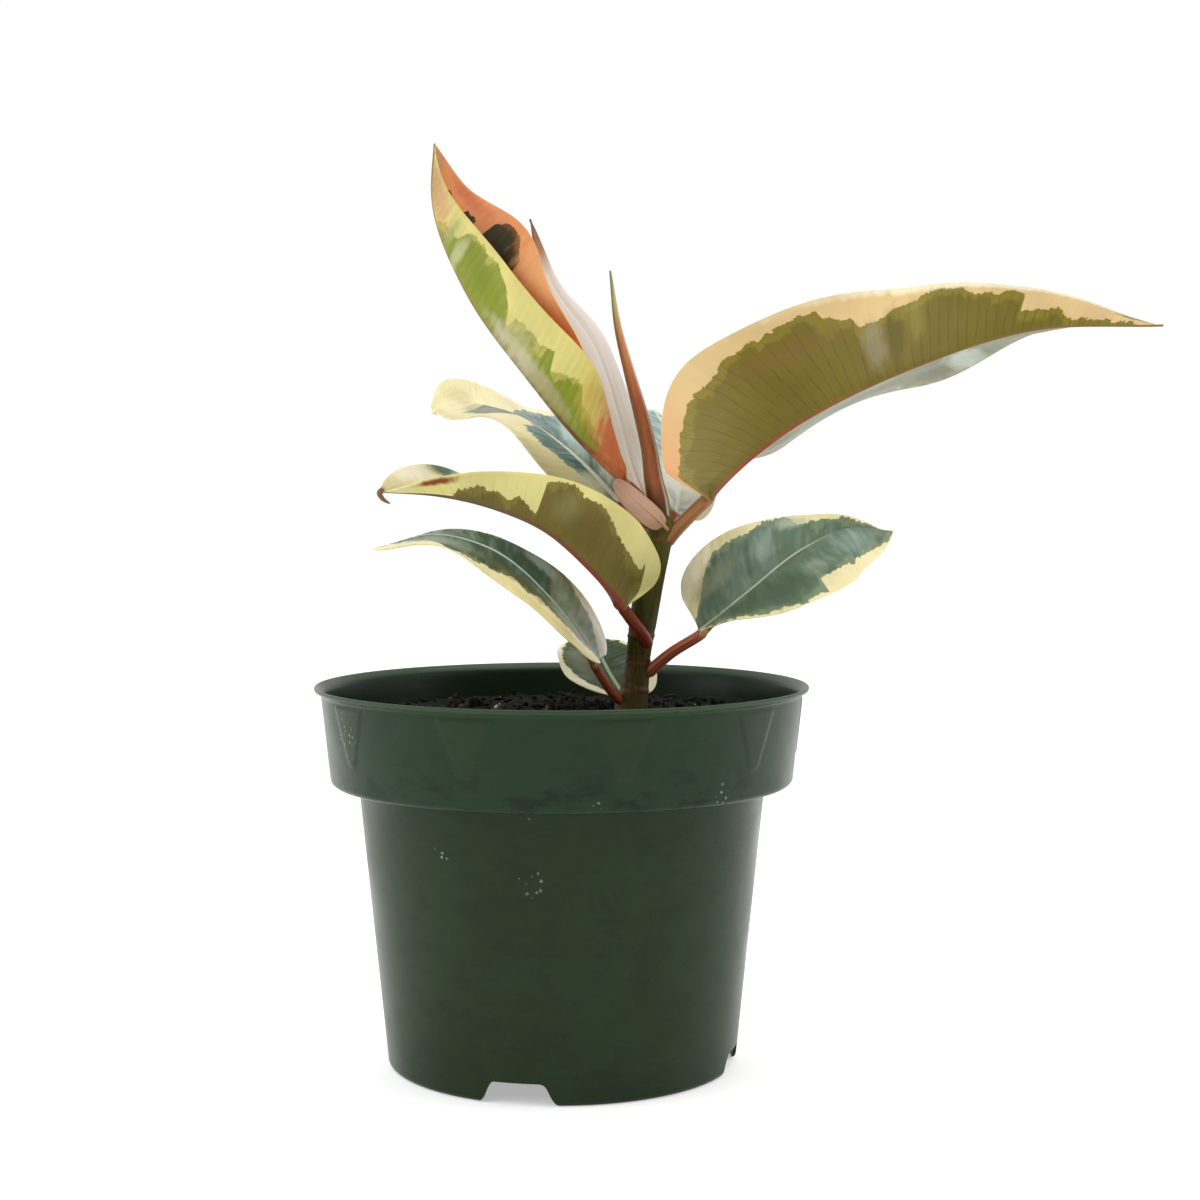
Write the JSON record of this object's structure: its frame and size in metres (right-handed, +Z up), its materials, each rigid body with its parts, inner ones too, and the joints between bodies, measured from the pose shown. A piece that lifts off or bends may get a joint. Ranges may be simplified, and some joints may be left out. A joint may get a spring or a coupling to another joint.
{
  "type": "potted rubber plant",
  "caption": "Young variegated rubber plant with broad cream-edged leaves on a short leaning stem, in a round dark green nursery pot.",
  "frame": {"origin": "middle of the pot's flat underside, on the ground and on the pot's axis", "axes": "+Z up along the pot's axis; the pictured front faces -Y; +X to the right of the front, where the largest leaf reaches"},
  "size_m": [0.271, 0.158, 0.2932],
  "materials": {
    "moulded_pot": "moulded dark green polypropylene, satin, faint dust and scuffs",
    "potting_mix": "moist peat potting mix with bark crumbs and pale grit",
    "stem_bark": "young olive-brown bark with leaf scar rings",
    "bud_sheath": "smooth red-brown bud sheath, satin",
    "dry_sheath": "papery pale lilac stipule, matt",
    "bud_scale": "dusty pink stipule, satin",
    "leaf_young": "young variegated leaf, orange-pink inner side, yellow-green underside, waxy",
    "leaf_underside": "variegated leaf seen from its olive and cream underside, satin",
    "leaf_upper_side": "variegated leaf, blue-green and cream, glossy upper side"
  },
  "bodies": {
    "root": {"pot": "moulded_pot", "potting_mix": "potting_mix", "stem": "stem_bark", "terminal_bud": "bud_sheath", "spent_sheath": "dry_sheath", "bud_scale": "bud_scale", "leaf_young_folded": "leaf_young", "leaf_large_right": "leaf_underside", "leaf_mid_left": "leaf_underside", "leaf_low_left": "leaf_upper_side", "leaf_low_right": "leaf_upper_side", "leaf_low_back": "leaf_upper_side", "leaf_upper_left": "leaf_upper_side", "leaf_upper_back": "leaf_upper_side"}
  },
  "joints": []
}
